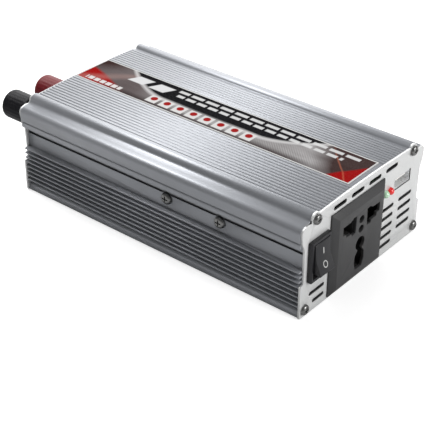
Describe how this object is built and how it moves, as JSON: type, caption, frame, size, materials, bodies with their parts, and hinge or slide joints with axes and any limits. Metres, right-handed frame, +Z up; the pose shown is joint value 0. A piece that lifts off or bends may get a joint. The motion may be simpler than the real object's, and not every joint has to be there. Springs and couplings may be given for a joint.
{
  "type": "power inverter",
  "caption": "Finned aluminium power inverter with a universal outlet, rocker switch and USB socket in front, and a fan and two screw-down input posts behind.",
  "frame": {"origin": "on the resting surface, below the middle of the whole object's box", "axes": "+X to the right as the front panel is faced, the front panel looks along -Y, +Z up"},
  "size_m": [0.0984, 0.2014, 0.0522],
  "materials": {
    "satin_aluminium": "anodised extrusion with fine lengthwise drawing lines",
    "mill_aluminium": "plain drawn plate",
    "panel_paint": "light silver-white paint, satin",
    "zinc_steel": "zinc plated",
    "bright_steel": "bright nickel plate",
    "label_print": "printed film",
    "outlet_grey": "dark grey moulded",
    "inner_grey": "dark moulded",
    "switch_black": "black moulded",
    "contact_brass": "stamped",
    "blade_copper": "copper alloy",
    "white_plastic": "moulded",
    "led_red": "tinted clear",
    "led_green": "tinted clear",
    "board_green": "solder mask",
    "ferrite": "sintered",
    "bobbin_black": "moulded",
    "winding_tape": "polyester tape",
    "can_blue": "shrink sleeve",
    "core_yellow": "coated powder core",
    "enamelled_copper": "enamelled wire",
    "epoxy_black": "moulded epoxy",
    "pad_grey": "thermal pad",
    "fuse_green": "tinted",
    "fan_black": "moulded",
    "knob_black": "moulded",
    "knob_red": "moulded",
    "stud_brass": "turned and threaded",
    "wire_black": "cable sheath",
    "wire_red": "cable sheath",
    "wire_blue": "cable sheath"
  },
  "bodies": {
    "case": {"upper_shell": "satin_aluminium", "base_plate": "mill_aluminium", "front_panel": "panel_paint", "rear_panel": "panel_paint", "panel_screws": "zinc_steel", "rear_screws": "zinc_steel", "side_screws": "zinc_steel", "label_sheet": "label_print", "outlet_cover": "outlet_grey", "outlet_body": "inner_grey", "line_contact": "contact_brass", "neutral_contact": "contact_brass", "earth_contact": "contact_brass", "switch_housing": "switch_black", "switch_terminals": "contact_brass", "usb_shell": "bright_steel", "usb_tongue": "white_plastic", "red_led": "led_red", "green_led": "led_green", "led_legs": "bright_steel", "indicator_board": "board_green", "main_board": "board_green", "transformer_cores": "ferrite", "transformer_bobbins": "bobbin_black", "transformer_tape": "winding_tape", "input_capacitors": "can_blue", "bus_capacitor": "can_blue", "choke_core": "core_yellow", "choke_winding": "enamelled_copper", "input_transistors": "epoxy_black", "output_transistors": "epoxy_black", "transistor_legs": "bright_steel", "clamp_bars": "mill_aluminium", "insulating_pads": "pad_grey", "blade_fuses": "fuse_green", "fuse_holders": "bobbin_black", "control_board": "board_green", "control_chips": "epoxy_black", "buzzer": "epoxy_black", "fan_frame": "fan_black", "fan_guard": "bright_steel", "fan_screws": "zinc_steel", "fan_leads": "wire_red", "negative_stud": "stud_brass", "negative_collar": "knob_black", "positive_stud": "stud_brass", "positive_collar": "knob_red", "post_nuts": "zinc_steel", "negative_lead": "wire_black", "positive_lead": "wire_red", "outlet_leads": "wire_blue", "switch_leads": "wire_red"},
    "rocker": {"switch_rocker": "switch_black", "switch_plunger": "white_plastic"},
    "contact_blade": {"switch_blade": "blade_copper"},
    "fan_wheel": {"fan_rotor": "fan_black"},
    "negative_slide": {"negative_washer": "zinc_steel"},
    "negative_turn": {"negative_knob": "knob_black"},
    "positive_slide": {"positive_washer": "zinc_steel"},
    "positive_turn": {"positive_knob": "knob_red"}
  },
  "joints": [
    {"name": "rocker_tilt", "type": "hinge", "parent": "case", "child": "rocker", "pos_m": [-0.0364, -0.09361, 0.0285], "axis": [1, 0, 0], "range_deg": [0, 28]},
    {"name": "blade_tilt", "type": "hinge", "parent": "case", "child": "contact_blade", "pos_m": [-0.0364, -0.08421, 0.0285], "axis": [1, 0, 0], "range_deg": [-18.1, 0.1]},
    {"name": "fan_spin", "type": "hinge", "parent": "case", "child": "fan_wheel", "pos_m": [0.0195, 0.07369, 0.025], "axis": [0, 1, 0], "continuous": true},
    {"name": "negative_washer_travel", "type": "slide", "parent": "case", "child": "negative_slide", "axis": [0, 1, 0], "range_m": [0, 0.005]},
    {"name": "negative_knob_turn", "type": "hinge", "parent": "negative_slide", "child": "negative_turn", "pos_m": [-0.0355, 0.08969, 0.0384], "axis": [0, 1, 0], "range_deg": [0, 1836]},
    {"name": "positive_washer_travel", "type": "slide", "parent": "case", "child": "positive_slide", "axis": [0, 1, 0], "range_m": [0, 0.005]},
    {"name": "positive_knob_turn", "type": "hinge", "parent": "positive_slide", "child": "positive_turn", "pos_m": [-0.013, 0.08969, 0.0384], "axis": [0, 1, 0], "range_deg": [0, 1836]}
  ],
  "couplings": [
    {"joint": "blade_tilt", "follows": "rocker_tilt", "ratio": -0.64286},
    {"joint": "negative_knob_turn", "follows": "negative_washer_travel", "rad_per_m": 6283.2},
    {"joint": "positive_knob_turn", "follows": "positive_washer_travel", "rad_per_m": 6283.2}
  ]
}
